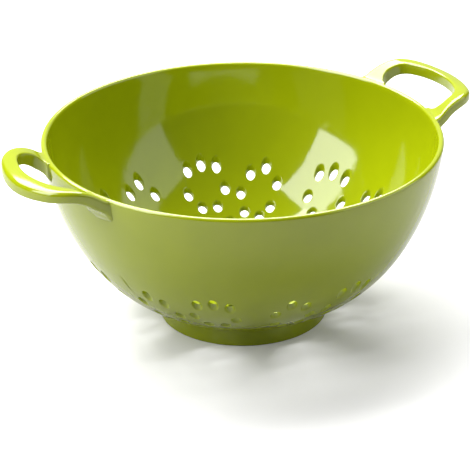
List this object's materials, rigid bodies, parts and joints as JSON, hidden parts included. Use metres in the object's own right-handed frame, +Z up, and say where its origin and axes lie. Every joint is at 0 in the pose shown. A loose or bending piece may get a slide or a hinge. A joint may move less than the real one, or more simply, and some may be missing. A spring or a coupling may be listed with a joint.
{
  "type": "colander",
  "caption": "Kitchen colander: a deep round bowl with rings of drain holes, standing on a foot ring, with a loop handle on each side of its rim.",
  "frame": {"origin": "centre of the foot ring's standing edge, on the surface it stands on", "axes": "+Z up out of the bowl's mouth, +X through the middle of one handle, with the other handle on -X"},
  "size_m": [0.3056, 0.24, 0.1242],
  "materials": {
    "bowl": "glossy moulded melamine, lime green",
    "foot_ring": "glossy moulded melamine, lime green",
    "handle_left": "glossy moulded melamine, lime green",
    "handle_right": "glossy moulded melamine, lime green"
  },
  "bodies": {
    "root": {"bowl": "bowl", "foot_ring": "foot_ring", "handle_left": "handle_left", "handle_right": "handle_right"}
  },
  "joints": []
}
